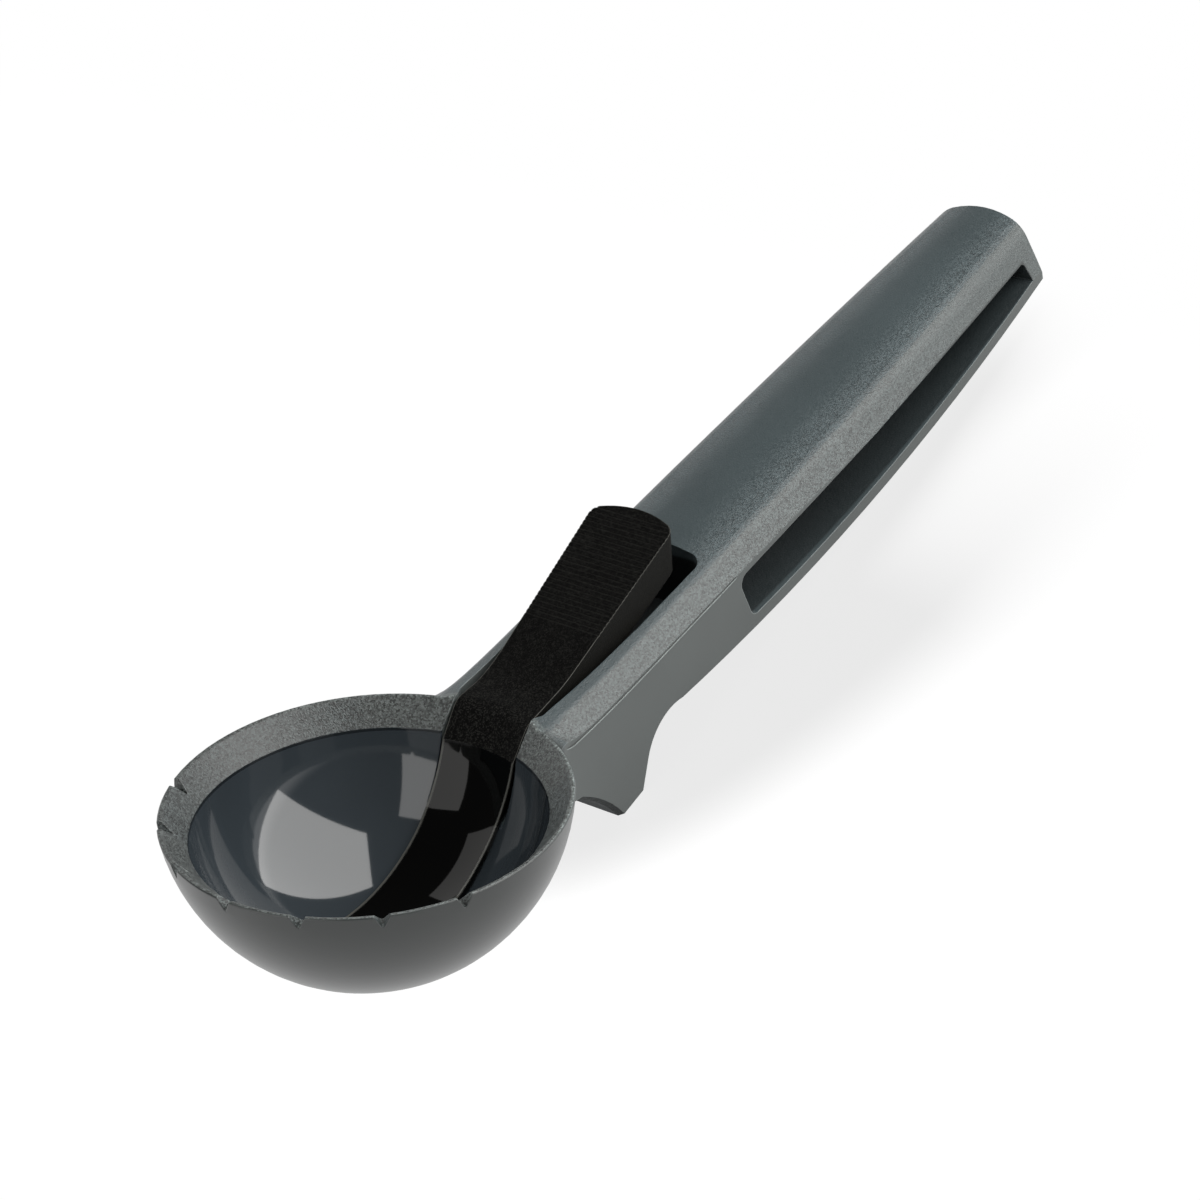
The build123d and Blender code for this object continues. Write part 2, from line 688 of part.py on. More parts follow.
def spring_path():
    """Both legs and the coil: quarter turns of a helix, each made of two tangent arcs."""
    first_deg = 270 + floor_slope_deg
    sweep_deg = 180 + floor_slope_deg - LEVER_LEG_DEG + 360 * SPRING_TURNS
    length = SPRING_PITCH * sweep_deg / 360
    pieces = ceil(sweep_deg / QUARTER_TURN_DEG)
    points = []
    tangents = []
    for index in range(pieces + 1):
        share = index / pieces
        angle_deg = first_deg - sweep_deg * share
        x, z = from_pivot(SPRING_RADIUS, angle_deg)
        points.append(Vector(x, length * (share - 1 / 2), z))
        turn = radians(sweep_deg)
        angle = radians(angle_deg)
        climb = length if 0 < index < pieces else 0
        along = Vector(SPRING_RADIUS * turn * sin(angle), climb, -SPRING_RADIUS * turn * cos(angle))
        tangents.append(along.normalized())
    edges = [Line(points[0] - tangents[0] * FLOOR_LEG, points[0])]
    for index in range(pieces):
        edges += two_arcs(points[index], tangents[index], points[index + 1], tangents[index + 1])
    edges.append(Line(points[-1], points[-1] + tangents[-1] * LEVER_LEG))
    return edges


def two_arcs(start, start_way, end, end_way):
    """Two arcs that leave start and reach end in the given directions and meet smoothly."""
    gap = end - start
    both = start_way + end_way
    square = 2 - 2 * start_way.dot(end_way)
    linear = 2 * gap.dot(both)
    reach = (sqrt(linear**2 + 4 * square * gap.dot(gap)) - linear) / (2 * square)
    joint = (start + start_way * reach + end - end_way * reach) / 2
    way = (end - end_way * reach - start - start_way * reach).normalized()
    return [TangentArc(start, joint, tangent=start_way), TangentArc(joint, end, tangent=way)]


def make_spring():
    """The return spring as one swept wire; prints the least gap between its turns."""
    edges = spring_path()
    path = Wire(edges)
    start = path @ 0
    section = Plane(origin=start, z_dir=path % 0) * RegularPolygon(WIRE / 2, WIRE_SIDES)
    steps = 400
    line = [path @ (step / steps) for step in range(steps + 1)]
    apart = ceil(2 * pi * SPRING_RADIUS / 2 / (path.length / steps))
    gaps = [(line[a] - line[b]).length for a in range(steps + 1) for b in range(a + apart, steps + 1)]
    print("return_spring least gap to itself, mm:", round(min(gaps) - WIRE, 3))
    return sweep(section, path=path)


def main():
    """Builds the four pieces, lays the scoop on its resting line and writes one file for each."""
    body = make_body()
    pieces = {
        "scoop_body": body,
        "thumb_lever": make_lever(),
        "hinge_pin": make_pin(),
        "return_spring": make_spring(),
    }
    tip = Rot(Y=degrees(rest_tilt))
    box = (tip * body).bounding_box()
    lay = Pos(-(box.min.X + box.max.X) / 2, 0, -box.min.Z) * tip
    hinge = (lay * Pos(pivot[0], 0, pivot[1])).position
    middle = (lay * Pos((foot[0] + foot_rear[0]) / 2, 0, (foot[1] + foot_rear[1]) / 2)).position
    rim = lay.position
    for name, place in (("hinge", hinge), ("foot", middle), ("rim centre", rim)):
        print(name, "at, mm:", round(place.X, 3), round(place.Y, 3), round(place.Z, 3))
    print("tipped back by, deg:", round(degrees(rest_tilt), 3))
    os.makedirs("parts", exist_ok=True)
    for name, piece in pieces.items():
        export_step(lay * piece, f"parts/{name}.step")


if __name__ == "__main__":
    main()
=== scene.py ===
"""Looks of an ice cream scoop with a thumb lever: its plastics, its steel, and the table that it lies on."""
from functools import reduce
from math import cos, pi, radians, sin
from types import SimpleNamespace

import bpy
import numpy as np
from mathutils import Matrix, Vector


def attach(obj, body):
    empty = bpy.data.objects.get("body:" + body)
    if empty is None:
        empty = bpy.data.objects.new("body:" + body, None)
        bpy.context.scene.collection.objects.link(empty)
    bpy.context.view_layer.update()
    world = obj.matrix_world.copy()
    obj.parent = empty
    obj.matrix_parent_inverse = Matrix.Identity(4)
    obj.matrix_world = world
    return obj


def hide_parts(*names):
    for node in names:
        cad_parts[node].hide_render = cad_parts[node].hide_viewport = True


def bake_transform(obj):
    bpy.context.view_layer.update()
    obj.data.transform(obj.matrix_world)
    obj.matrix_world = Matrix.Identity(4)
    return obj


bl_info = {
    "name": "Ice Cream Scoop",
    "version": (1, 0, 0),
    "blender": (4, 5, 0),
    "location": "View3D > Sidebar > Scoop",
    "description": "Finishes a plastic ice cream scoop and lights it on a pale table",
    "category": "Object",
}

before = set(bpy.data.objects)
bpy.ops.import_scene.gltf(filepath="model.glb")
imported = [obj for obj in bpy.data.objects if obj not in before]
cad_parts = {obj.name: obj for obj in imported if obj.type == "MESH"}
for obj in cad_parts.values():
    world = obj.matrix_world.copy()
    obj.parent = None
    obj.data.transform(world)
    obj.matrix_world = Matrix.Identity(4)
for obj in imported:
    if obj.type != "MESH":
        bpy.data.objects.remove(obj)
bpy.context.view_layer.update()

# The bowl's own frame starts at the middle of the rim, with Z square to the rim and X towards the handle
MILLIMETRE = 0.001
RIM_CENTRE = (-0.079133, 0.0, 0.036236)
TIP_BACK = radians(17.144)

# The bowl and the lever's arm, in millimetres of that frame
INSIDE_CENTRE = (0.0, 0.0, 1.549)
INSIDE_RADIUS = 29.149
OUTSIDE_CENTRE = (0.0, 0.0, 3.595)
OUTSIDE_RADIUS = 33.195
BEVEL_FOOT = -4.1
FACET_FOOT = -5.3
FACET_FRONT = 30.0

# The handle's own frame within it: X along the handle, Z square to it, starting behind the rim
HANDLE_START = (49.0, 0.0, 2.2)
HANDLE_PITCH = radians(12.2)
HANDLE_LENGTH = 143.3

# The handle's half width at its sides and at its crest, the flank's fall in degrees, and the belly's depth
SIDE_FRONT, SIDE_MIDDLE, SIDE_END = 14.2, 14.35, 13.3
CREST_FRONT, CREST_END, CREST_BULGE = 11.3, 8.9, 0.9
FLANK_FRONT, FLANK_END = 46.0, 63.5
BELLY_FRONT, BELLY_SLOPE, BELLY_CURVE = 13.5, 17.7, -21.6

# The parting line, along the handle: its ends, its hook at the rim, its rise over the neck, and its taper
SEAM_START, SEAM_END = -18.2, 33.0
HOOK_START, HOOK_LENGTH, HOOK_RISE = -14.6, 3.6, 1.3
NECK_START, NECK_LENGTH, NECK_RISE = 6.0, 30.0, 1.9
SEAM_SINK = 0.3
SEAM_TAPER, SEAM_TIP = 8, 0.04

# The line's dark bead, a painted shadow under the flank's edge, and the pale ridge below it, lightened as a painted
# highlight: drop, radius and lightness against the plain sides
SHADOW_LINE_DROP, SHADOW_LINE_WIDTH, SHADOW_LINE_LEVEL = 0.0, 0.9, 0.3
RIDGE_DROP, RIDGE_WIDTH, RIDGE_HIGHLIGHT_LEVEL = 0.3, 1.1, 2.6

# The return spring, in the bowl's frame: a coil about the hinge between a leg on the well's floor and one on the pad
HINGE_X, HINGE_Z = 37.5, -4.8
WIRE_RADIUS = 0.4
COIL_RADIUS = 2.6
COIL_PITCH = 1.35
COIL_START = radians(285.2)
COIL_SWEEP = radians(1256.2)
COIL_LENGTH = COIL_PITCH * COIL_SWEEP / (2 * pi)
FLOOR_LEG, PAD_LEG = 13.0, 9.0

# Where the body's finishes change, in the bowl's frame: each pair is where a change starts and where it ends
POLISH_REACH = (INSIDE_RADIUS + 0.15, INSIDE_RADIUS + 0.45)
POLISH_TOP = (BEVEL_FOOT - 0.05, BEVEL_FOOT + 0.05)
SHELL_REACH = (OUTSIDE_RADIUS - 0.25, OUTSIDE_RADIUS - 0.1)
NECK_ROOT = (30.0, 33.0)
BEVEL_REACH = (33.2, 34.0)
# Across the bevel, the span over which its painted shade deepens towards +Y
BEVEL_SPAN = (-28.0, 25.0)
# The rim's lip, which takes a painted highlight towards the handle
LIP_INNER, LIP_OUTER = (32.2, 32.5), (33.4, 33.8)
LIP_SIDE = (0.0, 20.0)

# The same along and across the handle
# The window's and the well's insides, which take painted shade
WINDOW_DEPTH = (12.9, 13.5)
WINDOW_TOP = (-4.5, -4.1)
WINDOW_FLOOR = (1.0, 1.6)
WELL_DEPTH = (9.6, 9.8)
SPARKLE_SPAN = (15.0, 42.0)
CALM_SPAN = (65.0, 125.0)

# Bands that a finish keeps to: from, to, and the width over which it fades outside them
FOOT_BAND = (BEVEL_FOOT - 0.45, BEVEL_FOOT - 0.05, 0.1)
LIP_BAND = (-0.3, 0.5, 0.2)
WINDOW_BAND = (33.5, 137.0, 0.5)
WELL_BAND = (-14.0, 31.5, 0.5)
WELL_HEIGHT = (-11.0, -0.6, 0.8)

# How far the surface faces sideways or up where a finish changes, and how far a rounded edge turns it
PLAIN_FACING = (0.93, 0.985)
FLANK_FACING = (0.48, 0.54)
CREASE_FACING = (0.08, 0.28)
# Where the surface faces down enough to take painted shade
TABLE_FACING = (-0.3, -0.1)
LEVER_FACING = (0.7, 0.9)
EDGE_TURN, LENGTHWISE_TURN = (0.9, 0.995), (0.12, 0.4)
EDGE_SAMPLES = 12

# The body's lightness against its colour, and how much its salt and pepper swings about it
BROAD_GRAINS, BROAD_SPAN, BROAD_LEVELS = 80, (0.3, 0.7), (0.95, 1.05)
SPARKLE_SHARES = (0.3, 1.0)
TOP_SALT, BEVEL_SALT = (0.95, 0.66), (0.6, 0.7)
FLANK_SWING = (1.3, 0.5)
FLANK_TINT = 0.3
# Painted shade on the bevel, deeper towards +Y: its level at either end of its span across
BEVEL_SHADE_LEVELS = (0.85, 0.59)
# Painted highlights on the moulded edges, on the grained parts and on the plain ones
EDGE_HIGHLIGHT_LEVEL, PLAIN_EDGE_HIGHLIGHT_LEVEL = 1.8, 2.2
# Painted shade in the handle's window and in the thumb well
WINDOW_SHADE_LEVEL, WELL_SHADE_LEVEL = 0.4, 0.12
# The foot of the bevel and the bowl's outside are darker; the lip's level is a painted highlight on the rim's lip,
# and the level below is painted shade on what faces the table
FOOT_LEVEL, OUTSIDE_LEVEL, LIP_HIGHLIGHT_LEVEL, BELOW_SHADE_LEVEL = 0.4, 0.36, 1.9, 0.35

# The body's gloss
BODY_ROUGHNESS = (0.16, 0.3)
PLAIN_ROUGHNESS, OUTSIDE_ROUGHNESS, BELOW_ROUGHNESS, POLISH_ROUGHNESS = 0.4, 0.31, 0.8, 0.06
FAINT_GRAIN = 0.3
BODY_COAT, BODY_SPECULAR = 0.3, 0.6

# The lever: where its polished arm begins, its specks and ribs, and their lightness against its colour
ARM_TOP = (FACET_FOOT - 0.1, FACET_FOOT + 0.1)
ARM_BACK = (FACET_FRONT, FACET_FRONT + 0.5)
PAD_START, SPECK_SHARES = (34.0, 43.0), (1.0, 0.6)
SPECK_SALT = (0.5, 1.0)
RIB_SALT, RIB_SHARES = (0.1, 0.6), (0.45, 1.0)
# The specks are grain; the rib and lengthwise levels are painted highlights on the lever's edges, and the side level
# is painted light on its sides
SPECK_LEVEL, RIB_HIGHLIGHT_LEVEL, SIDE_LIGHT_LEVEL, LENGTHWISE_HIGHLIGHT_LEVEL = 16.0, 19.0, 9.0, 95.0

# The lever's gloss
LEVER_ROUGHNESS = (0.2, 0.36)
LENGTHWISE_ROUGHNESS, ARM_ROUGHNESS = 0.25, 0.05
ARM_COAT, ARM_COAT_ROUGHNESS, LEVER_SPECULAR = 0.45, 0.04, 0.05

# The moulded grain, the parting line's unevenness and the drawn steel
GRAIN_DETAIL, GRAIN_ROUGHNESS = 2.0, 0.6
SEAM_GRAINS, SEAM_UNEVEN, SEAM_ROUGHNESS = 10, (0.7, 1.3), 0.45
STEEL_SCALE, STEEL_DETAIL = 6.0, 3.0
STEEL_LEVELS, STEEL_ROUGHNESS = (0.8, 1.1), (0.15, 0.22)
PIN_STRETCH, WIRE_STRETCH = (1.0, 0.1, 1.0), (1.0, 1.0, 1.0)

# The stage, in metres: the camera at the photograph's viewing angle
CAMERA_PLACE = (-0.28036, -0.28102, 0.36040)
CAMERA_AZIMUTH = radians(-43.010)
CAMERA_ELEVATION = radians(41.155)
CAMERA_ROLL = radians(-17.921)
CAMERA_LENS = 90.0
SENSOR = 36.0
CLIP_START, CLIP_END = 0.01, 100.0

# The softboxes by name: place, side axis, up axis and size
SOFTBOXES = {
    "key": ((0.190, -0.262, 0.506), (0.731, 0.682, 0.032), (-0.269, 0.244, 0.932), (0.60, 0.86)),
    "fill": ((-0.864, 0.154, 0.661), (0.179, -0.981, 0.069), (0.558, 0.159, 0.814), (0.87, 0.88)),
    "back": ((-0.025, 0.865, 0.512), (-0.9986, 0.052, 0.0), (-0.026, -0.5, 0.866), (0.65, 0.58)),
}
LAMP_COLOUR = (1.0, 0.99, 0.97)

# The table, its shadow and the room
TABLE_HALF = 6.0
TABLE_GREY = 0.6
SHADOW_ELEVATION = radians(16.5)
SHADOW_AZIMUTH = radians(171.5)
SHADOW_SOFTNESS = radians(9)
SHADOW_FADE, SHADOW_END = 0.075, 0.112
HORIZON = (0.12, 0.3)
ROOM_LIGHT = 0.06
BLACK, WHITE = (0.0, 0.0, 0.0), (1.0, 1.0, 1.0)


class ScoopBodyFinish(bpy.types.PropertyGroup):
    """What a user would change on the moulded body."""

    colour: bpy.props.FloatVectorProperty(
        name="Colour",
        description="Colour of the handle's top",
        default=(0.051, 0.067, 0.072),
        size=3,
        min=0,
        max=1,
        subtype="COLOR",
    )
    side_colour: bpy.props.FloatVectorProperty(
        name="Side colour",
        description="Colour of the flanks, the rim and the plain sides",
        default=(0.082, 0.093, 0.091),
        size=3,
        min=0,
        max=1,
        subtype="COLOR",
    )
    inside_colour: bpy.props.FloatVectorProperty(
        name="Inside colour",
        description="Colour of the polished inside of the bowl",
        default=(0.033, 0.041, 0.048),
        size=3,
        min=0,
        max=1,
        subtype="COLOR",
    )
    grain_size: bpy.props.FloatProperty(
        name="Grain size",
        description="Size of one grain of the moulded texture",
        default=0.0003,
        min=0.0001,
        unit="LENGTH",
    )
    grain_depth: bpy.props.FloatProperty(
        name="Grain depth",
        description="Depth of the moulded texture",
        default=0.00012,
        min=0,
        unit="LENGTH",
    )
    seam_radius: bpy.props.FloatProperty(
        name="Parting line",
        description="Radius of the fine ridge that the mould's halves leave under the flanks",
        default=0.00015,
        min=0,
        unit="LENGTH",
    )
    edge_round: bpy.props.FloatProperty(
        name="Edge rounding",
        description="Radius that the light sees on every moulded edge",
        default=0.0003,
        min=0,
        unit="LENGTH",
    )


class ScoopLeverFinish(bpy.types.PropertyGroup):
    """What a user would change on the thumb lever."""

    colour: bpy.props.FloatVectorProperty(
        name="Colour",
        description="Colour of the lever's plastic",
        default=(0.0012, 0.0012, 0.0011),
        size=3,
        min=0,
        max=1,
        subtype="COLOR",
    )
    grain_size: bpy.props.FloatProperty(
        name="Grain size",
        description="Size of one grain of the moulded texture",
        default=0.0002,
        min=0.0001,
        unit="LENGTH",
    )
    grain_depth: bpy.props.FloatProperty(
        name="Grain depth",
        description="Depth of the moulded texture",
        default=0.00012,
        min=0,
        unit="LENGTH",
    )
    edge_round: bpy.props.FloatProperty(
        name="Edge rounding",
        description="Radius that the light sees on every edge of the pad and the bend",
        default=0.0003,
        min=0,
        unit="LENGTH",
    )
    arm_round: bpy.props.FloatProperty(
        name="Arm rounding",
        description="Radius that the light sees on the edges of the polished arm",
        default=0.0009,
        min=0,
        unit="LENGTH",
    )


class ScoopSteelFinish(bpy.types.PropertyGroup):
    """What a user would change on the hinge pin and the spring."""

    colour: bpy.props.FloatVectorProperty(
        name="Colour",
        description="Colour of the drawn steel",
        default=(0.56, 0.56, 0.57),
        size=3,
        min=0,
        max=1,
        subtype="COLOR",
    )


class ScoopStage(bpy.types.PropertyGroup):
    """What a user would change on the lamps and the shadow."""

    key_power: bpy.props.FloatProperty(
        name="Key softbox",
        description="Power of the softbox on the right",
        default=6.2,
        min=0,
        unit="POWER",
    )
    fill_power: bpy.props.FloatProperty(
        name="Fill softbox",
        description="Power of the softbox beyond the bowl",
        default=4.2,
        min=0,
        unit="POWER",
    )
    back_power: bpy.props.FloatProperty(
        name="Back softbox",
        description="Power of the softbox behind the scoop",
        default=1.4,
        min=0,
        unit="POWER",
    )
    shadow_share: bpy.props.FloatProperty(
        name="Shadow",
        description="Share of the table's white that the shadow takes away",
        default=0.2,
        min=0,
        max=1,
        subtype="FACTOR",
    )


def feed(tree, target, inputs):
    """Fills a node's sockets, by name or number: a value is set, and another node's output is linked."""
    for key, value in inputs.items():
        if isinstance(value, bpy.types.NodeSocket):
            tree.links.new(value, target.inputs[key])
        else:
            target.inputs[key].default_value = value


def node(tree, kind, inputs=None, **settings):
    """A node with its settings and its filled sockets."""
    made = tree.nodes.new(kind)
    for key, value in settings.items():
        setattr(made, key, value)
    feed(tree, made, inputs or {})
    return made


def number(tree, operation, *values):
    """The output of a Math node."""
    return node(tree, "ShaderNodeMath", dict(enumerate(values)), operation=operation).outputs[0]


def chained(tree, operation, values):
    """One Math operation carried through several values."""
    return reduce(lambda so_far, value: number(tree, operation, so_far, value), values)


def product(tree, *values):
    """Several shares multiplied."""
    return chained(tree, "MULTIPLY", values)


def largest(tree, *values):
    """The largest of several shares."""
    return chained(tree, "MAXIMUM", values)


def rest_of(tree, share):
    """What a share leaves of 1."""
    return number(tree, "SUBTRACT", 1.0, share)


def linear(tree, value, factor, base):
    """A value times a factor, and a base more."""
    return number(tree, "MULTIPLY_ADD", value, factor, base)


def step(tree, value, low, high, first=0.0, last=1.0):
    """A smooth change from first, where value is low, to last, where it is high."""
    inputs = {"Value": value, "From Min": low, "From Max": high, "To Min": first, "To Max": last}
    made = node(tree, "ShaderNodeMapRange", inputs, interpolation_type="SMOOTHSTEP")
    return made.outputs["Result"]


def fade(tree, value, low, high):
    """1 where value is below low, and smoothly 0 where it is above high."""
    return step(tree, value, low, high, 1.0, 0.0)


def between(tree, value, low, high, soft):
    """1 where value lies between low and high, fading over soft outside them."""
    return product(tree, step(tree, value, low - soft, low), fade(tree, value, high, high + soft))


def blend(tree, share, first, second):
    """A number between first, at share 0, and second, at share 1."""
    inputs = {"Factor": share, "A": first, "B": second}
    return node(tree, "ShaderNodeMix", inputs, data_type="FLOAT").outputs[0]


def level_where(tree, share, level):
    """The level where share is 1, and 1 where it is 0."""
    return blend(tree, share, 1.0, level)


def colour_mix(tree, share, first, second):
    """A colour between first, at share 0, and second, at share 1."""
    made = node(tree, "ShaderNodeMix", data_type="RGBA")
    wanted = {"Factor_Float": share, "A_Color": first, "B_Color": second}
    feed(tree, made, {i: wanted[x.identifier] for i, x in enumerate(made.inputs) if x.identifier in wanted})
    return next(x for x in made.outputs if x.identifier == "Result_Color")


def opaque(colour, level=1.0):
    """A colour with its alpha, made lighter or darker by level."""
    return tuple(channel * level for channel in colour) + (1.0,)


def axes(tree, vector):
    """The X, Y and Z of a vector."""
    return node(tree, "ShaderNodeSeparateXYZ", {0: vector}).outputs


def distance(tree, place, centre):
    """How far a place is from a point."""
    return node(tree, "ShaderNodeVectorMath", {0: place, 1: centre}, operation="DISTANCE").outputs["Value"]


def object_place(tree):
    """The place on the object, in metres."""
    return node(tree, "ShaderNodeTexCoord").outputs["Object"]


def bowl_frame(tree):
    """The place on the object in the bowl's own frame, in millimetres."""
    inputs = {
        "Vector": object_place(tree),
        "Location": RIM_CENTRE,
        "Rotation": (0, TIP_BACK, 0),
        "Scale": (MILLIMETRE, MILLIMETRE, MILLIMETRE),
    }
    return node(tree, "ShaderNodeMapping", inputs, vector_type="TEXTURE").outputs["Vector"]


def handle_frame(tree, place):
    """The place along, across and square to the handle, in millimetres."""
    inputs = {"Vector": place, "Location": HANDLE_START, "Rotation": (0, -HANDLE_PITCH, 0)}
    return node(tree, "ShaderNodeMapping", inputs, vector_type="TEXTURE").outputs["Vector"]


def facing(tree):
    """Where the surface faces, along each axis of the scoop."""
    return axes(tree, node(tree, "ShaderNodeTexCoord").outputs["Normal"])


def sideways_share(tree):
    """How far the surface faces across the scoop: 0 on top, 1 on a side."""
    return number(tree, "ABSOLUTE", facing(tree)["Y"])


def grain(tree, place, size):
    """Moulded grain: fine noise of one grain size."""
    inputs = {"Vector": place, "Scale": MILLIMETRE / size, "Detail": GRAIN_DETAIL, "Roughness": GRAIN_ROUGHNESS}
    return node(tree, "ShaderNodeTexNoise", inputs).outputs["Fac"]


def speckle(tree, place, size):
    """Salt and pepper of the moulded grain: each cell of one grain size has a value of its own, from 0 to 1."""
    cells = node(tree, "ShaderNodeTexVoronoi", {"Vector": place, "Scale": MILLIMETRE / size})
    return node(tree, "ShaderNodeSeparateColor", {0: cells.outputs["Color"]}).outputs["Red"]


def rounded_edges(tree, radius):
    """The normal with every edge rounded for the light, and shares that are 1 on all edges and on lengthwise ones."""
    rounded = node(tree, "ShaderNodeBevel", {"Radius": radius}, samples=EDGE_SAMPLES).outputs["Normal"]
    pair = {0: rounded, 1: node(tree, "ShaderNodeNewGeometry").outputs["Normal"]}
    same = node(tree, "ShaderNodeVectorMath", pair, operation="DOT_PRODUCT").outputs["Value"]
    turn = node(tree, "ShaderNodeVectorMath", pair, operation="SUBTRACT").outputs["Vector"]
    across = number(tree, "ABSOLUTE", axes(tree, turn)["Y"])
    return rounded, fade(tree, same, *EDGE_TURN), step(tree, across, *LENGTHWISE_TURN)


def grain_normal(tree, place, finish, strength, rounded):
    """The normal of the moulded grain, laid over the rounded edges."""
    inputs = {
        "Strength": strength,
        "Distance": finish.grain_depth,
        "Height": grain(tree, place, finish.grain_size),
        "Normal": rounded,
    }
    return node(tree, "ShaderNodeBump", inputs).outputs["Normal"]


def new_material(name):
    """A material with a Principled shader; returns the material, its tree and the shader."""
    material = bpy.data.materials.new(name)
    material.use_nodes = True
    tree = material.node_tree
    return material, tree, tree.nodes["Principled BSDF"]


def painted_inside_shade(tree, place):
    """Painted shade in the handle's window and in the thumb well, where little light gets in: a level on the colour,
    1 outside them.
    """
    parts = axes(tree, handle_frame(tree, place))
    across = number(tree, "ABSOLUTE", parts["Y"])
    share = number(tree, "DIVIDE", parts["X"], HANDLE_LENGTH)
    belly = linear(tree, share, linear(tree, share, BELLY_CURVE, BELLY_SLOPE), BELLY_FRONT)
    window = product(
        tree,
        fade(tree, across, *WINDOW_DEPTH),
        fade(tree, parts["Z"], *WINDOW_TOP),
        step(tree, number(tree, "ADD", parts["Z"], belly), *WINDOW_FLOOR),
        between(tree, parts["X"], *WINDOW_BAND),
    )
    well = product(
        tree,
        fade(tree, across, *WELL_DEPTH),
        between(tree, parts["Z"], *WELL_HEIGHT),
        between(tree, parts["X"], *WELL_BAND),
    )
    return product(tree, level_where(tree, window, WINDOW_SHADE_LEVEL), level_where(tree, well, WELL_SHADE_LEVEL))


def body_masks(tree, place):
    """Where each of the body's finishes lies, and where its painted highlight on the lip and its painted shade on
    what faces the table go, as shares that are 1 there.
    """
    parts = axes(tree, place)
    sideways = sideways_share(tree)
    near_wall = fade(tree, distance(tree, place, INSIDE_CENTRE), *POLISH_REACH)
    flat = node(tree, "ShaderNodeVectorMath", {0: place, 1: (1, 1, 0)}, operation="MULTIPLY").outputs["Vector"]
    from_axis = distance(tree, flat, (0, 0, 0))
    shell = step(tree, distance(tree, place, OUTSIDE_CENTRE), *SHELL_REACH)
    outside = product(tree, shell, fade(tree, parts["X"], *NECK_ROOT))
    elsewhere = rest_of(tree, outside)
    polished = product(tree, near_wall, fade(tree, parts["Z"], *POLISH_TOP))
    plain = largest(tree, step(tree, sideways, *PLAIN_FACING), outside)
    grained = rest_of(tree, largest(tree, plain, polished))
    within = fade(tree, from_axis, *BEVEL_REACH)
    bevel = product(tree, within, step(tree, parts["Z"], *POLISH_TOP), elsewhere)
    flank = product(tree, step(tree, sideways, *FLANK_FACING), elsewhere)
    # The rim's lip towards the handle, which takes a painted highlight
    lip = product(
        tree,
        step(tree, from_axis, *LIP_INNER),
        fade(tree, from_axis, *LIP_OUTER),
        between(tree, parts["Z"], *LIP_BAND),
        step(tree, parts["X"], *LIP_SIDE),
    )
    return SimpleNamespace(
        polished=polished,
        plain=plain,
        outside=outside,
        grained=grained,
        bevel=bevel,
        flank=flank,
        coarse=product(tree, grained, largest(tree, bevel, flank)),
        near_crease=step(tree, sideways, *CREASE_FACING),
        bevel_foot=product(tree, near_wall, between(tree, parts["Z"], *FOOT_BAND)),
        lip=lip,
        # What faces the table: painted shade, and a rougher finish
        below=product(tree, fade(tree, facing(tree)["Z"], *TABLE_FACING), elsewhere),
    )


def body_level(tree, place, masks, salt, edge, grain_size):
    """How light the body is against its colour, all multiplied: its grain, painted highlights on its edges and on the
    lip, and painted shade on the bevel's far side, in the window and the well and on what faces the table.
    """
    along = axes(tree, handle_frame(tree, place))["X"]
    across = axes(tree, place)["Y"]
    broad = step(tree, grain(tree, place, grain_size * BROAD_GRAINS), *BROAD_SPAN, *BROAD_LEVELS)
    sparkle = product(tree, masks.near_crease, step(tree, along, *SPARKLE_SPAN, *SPARKLE_SHARES))
    top_salt = level_where(tree, sparkle, linear(tree, salt, *TOP_SALT))
    swing = step(tree, along, *CALM_SPAN, *FLANK_SWING)
    flank_salt = linear(tree, number(tree, "SUBTRACT", salt, 0.5), swing, 1.0)
    # Besides the grain: painted shade in the window and the well, on the bevel and on what faces the table, and
    # painted highlights on the edges and the lip
    return product(
        tree,
        broad,
        level_where(tree, masks.grained, blend(tree, masks.coarse, top_salt, flank_salt)),
        level_where(tree, masks.bevel, linear(tree, salt, *BEVEL_SALT)),
        painted_inside_shade(tree, place),
        level_where(tree, masks.bevel_foot, FOOT_LEVEL),
        level_where(tree, masks.bevel, step(tree, across, *BEVEL_SPAN, *BEVEL_SHADE_LEVELS)),
        level_where(tree, masks.outside, OUTSIDE_LEVEL),
        level_where(tree, edge, blend(tree, masks.plain, EDGE_HIGHLIGHT_LEVEL, PLAIN_EDGE_HIGHLIGHT_LEVEL)),
        level_where(tree, masks.lip, LIP_HIGHLIGHT_LEVEL),
        level_where(tree, masks.below, BELOW_SHADE_LEVEL),
    )


def body_tone(tree, masks, finish):
    """The body's colour before its grain and shade: top, sides and the bowl's inside."""
    top = opaque(finish.colour)
    pale = largest(tree, masks.plain, masks.flank, masks.bevel)
    tone = colour_mix(tree, pale, top, opaque(finish.side_colour))
    tone = colour_mix(tree, product(tree, masks.grained, masks.flank, FLANK_TINT), tone, top)
    return colour_mix(tree, masks.polished, tone, opaque(finish.inside_colour))


